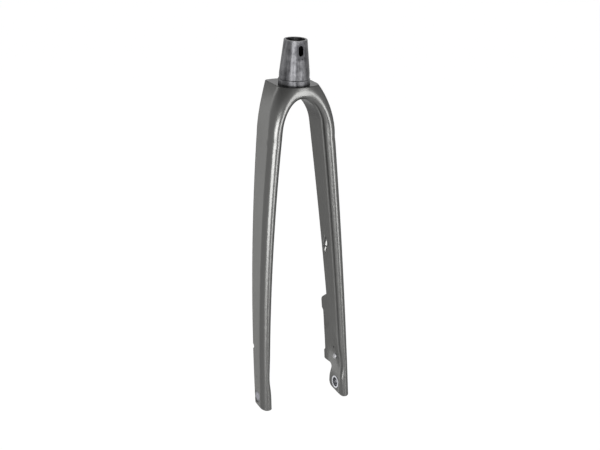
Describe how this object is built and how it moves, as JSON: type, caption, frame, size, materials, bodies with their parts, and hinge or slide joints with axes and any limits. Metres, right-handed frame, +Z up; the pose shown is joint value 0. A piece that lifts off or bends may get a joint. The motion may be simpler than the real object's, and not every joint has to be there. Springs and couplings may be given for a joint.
{
  "type": "rigid bicycle fork",
  "caption": "Rigid bicycle fork with raked hollow legs, a disc brake mount on the left leg, a through axle dropout on each side and a tapered steerer base.",
  "frame": {"origin": "on the steering axis, at the foot of the crown race seat, level with the flat top of the crown", "axes": "+Z up along the steering axis, -Y to the front of the bicycle, +X to the rider's left, the side of the brake mount"},
  "size_m": [0.1266, 0.0997, 0.4609],
  "materials": {
    "paint": "metallic gunmetal paint under clear coat, over moulded fibre composite",
    "bare_aluminium": "bare, dull",
    "black_rubber": "matte"
  },
  "bodies": {
    "root": {"fork_body": "paint", "steerer_tube": "bare_aluminium", "drive_axle_insert": "bare_aluminium", "brake_axle_sleeve": "bare_aluminium", "brake_mount_insert_upper": "bare_aluminium", "brake_mount_insert_lower": "bare_aluminium", "fender_insert_drive": "bare_aluminium", "fender_insert_brake": "bare_aluminium", "crown_fender_insert": "bare_aluminium", "hose_grommet": "black_rubber"}
  },
  "joints": []
}
